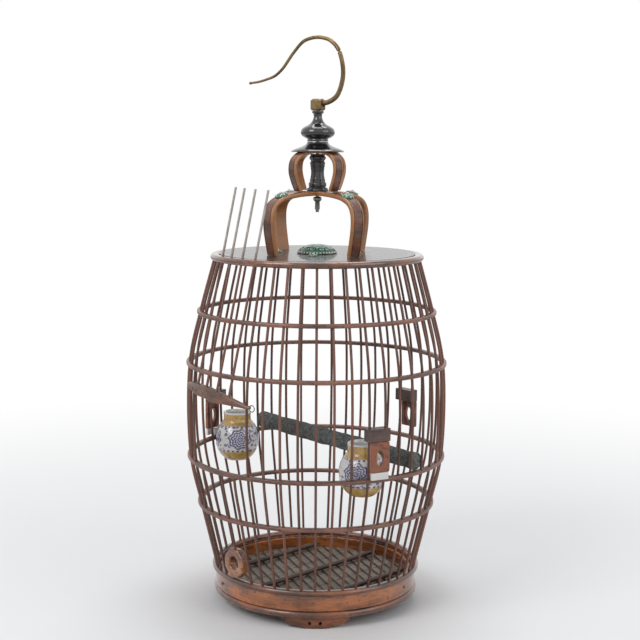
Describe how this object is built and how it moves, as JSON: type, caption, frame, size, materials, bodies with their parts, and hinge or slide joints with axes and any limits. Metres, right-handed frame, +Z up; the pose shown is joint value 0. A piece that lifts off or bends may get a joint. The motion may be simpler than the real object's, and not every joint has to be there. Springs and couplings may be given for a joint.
{
  "type": "birdcage",
  "caption": "Barrel-shaped bamboo songbird cage with a lifting barred door, porcelain pots, a branch perch, arched crowns and a swivelling brass hook",
  "frame": {"origin": "on the cage's axis, at the height of the surface that its feet stand on", "axes": "+Z up, -Y towards the pictured front, +X to the right"},
  "size_m": [0.3036, 0.3036, 0.658],
  "materials": {
    "barrel_bars_and_belly_hoop": "reddish brown oiled bamboo",
    "waist_hoop_and_short_bars": "reddish brown oiled bamboo",
    "shoulder_hoop": "reddish brown oiled bamboo",
    "ankle_hoop": "reddish brown oiled bamboo",
    "feed_port_ring": "polished orange brown wood",
    "base_lower_bead": "lacquered red brown bamboo bead",
    "base_band": "glossy mottled orange brown bamboo",
    "base_upper_bead": "lacquered red brown bamboo bead",
    "foot_front": "carved brown wood",
    "foot_left": "carved brown wood",
    "foot_right": "carved brown wood",
    "floor_board": "worn grey brown board",
    "floor_grating": "worn bamboo splints",
    "floor_pin_1": "aged brass",
    "floor_pin_2": "aged brass",
    "floor_pin_3": "aged brass",
    "floor_pin_4": "aged brass",
    "top_rim": "lacquered red brown bamboo",
    "top_board": "black lacquer",
    "lower_crown_arch_under": "lacquered brown strap",
    "lower_crown_arch_over": "lacquered brown strap",
    "upper_crown_arch_under": "lacquered brown strap",
    "upper_crown_arch_over": "lacquered brown strap",
    "crown_spool": "black lacquer",
    "finial_brim": "black lacquer",
    "finial_vase": "black lacquer",
    "hook_rod": "aged brass",
    "rod_nut": "aged brass",
    "hook_block": "dark aged brass",
    "hook": "aged brass",
    "board_flower": "green enamel",
    "board_stud_1": "green enamel",
    "board_stud_2": "green enamel",
    "board_stud_3": "green enamel",
    "board_stud_4": "green enamel",
    "door_rail": "polished red brown wood",
    "door_bar_1": "reddish brown oiled bamboo",
    "door_bar_2": "reddish brown oiled bamboo",
    "door_bar_3": "reddish brown oiled bamboo",
    "door_bar_4": "reddish brown oiled bamboo",
    "perch": "grey sand coating",
    "pot_right": "glazed porcelain",
    "pot_left": "glazed porcelain",
    "holder_right_head": "polished red brown wood",
    "holder_right_plate": "polished red brown wood",
    "holder_left_head": "polished red brown wood",
    "holder_left_plate": "polished red brown wood",
    "holder_spare_head": "polished red brown wood",
    "holder_spare_plate": "polished red brown wood"
  },
  "bodies": {
    "root": {"ankle_hoop": "ankle_hoop", "barrel_bars_and_belly_hoop": "barrel_bars_and_belly_hoop", "base_band": "base_band", "base_lower_bead": "base_lower_bead", "base_upper_bead": "base_upper_bead", "board_flower": "board_flower", "board_stud_1": "board_stud_1", "board_stud_2": "board_stud_2", "board_stud_3": "board_stud_3", "board_stud_4": "board_stud_4", "crown_spool": "crown_spool", "feed_port_ring": "feed_port_ring", "finial_brim": "finial_brim", "finial_vase": "finial_vase", "floor_board": "floor_board", "floor_grating": "floor_grating", "floor_pin_1": "floor_pin_1", "floor_pin_2": "floor_pin_2", "floor_pin_3": "floor_pin_3", "floor_pin_4": "floor_pin_4", "foot_front": "foot_front", "foot_left": "foot_left", "foot_right": "foot_right", "holder_left_head": "holder_left_head", "holder_left_plate": "holder_left_plate", "holder_right_head": "holder_right_head", "holder_right_plate": "holder_right_plate", "holder_spare_head": "holder_spare_head", "holder_spare_plate": "holder_spare_plate", "lower_crown_arch_over": "lower_crown_arch_over", "lower_crown_arch_under": "lower_crown_arch_under", "perch": "perch", "pot_left": "pot_left", "pot_right": "pot_right", "shoulder_hoop": "shoulder_hoop", "top_board": "top_board", "top_rim": "top_rim", "upper_crown_arch_over": "upper_crown_arch_over", "upper_crown_arch_under": "upper_crown_arch_under", "waist_hoop_and_short_bars": "waist_hoop_and_short_bars"},
    "door": {"door_rail": "door_rail", "door_bar_1": "door_bar_1", "door_bar_2": "door_bar_2", "door_bar_3": "door_bar_3", "door_bar_4": "door_bar_4"},
    "hook_head": {"hook_rod": "hook_rod", "rod_nut": "rod_nut", "hook_block": "hook_block", "hook": "hook"}
  },
  "joints": [
    {"name": "door_slide", "type": "slide", "parent": "root", "child": "door", "axis": [-0.1802, -0.158, -0.9709], "range_m": [0, 0.072]},
    {"name": "hook_swivel", "type": "hinge", "parent": "root", "child": "hook_head", "pos_m": [0, 0, 0.58], "axis": [0, 0, 1], "continuous": true}
  ]
}
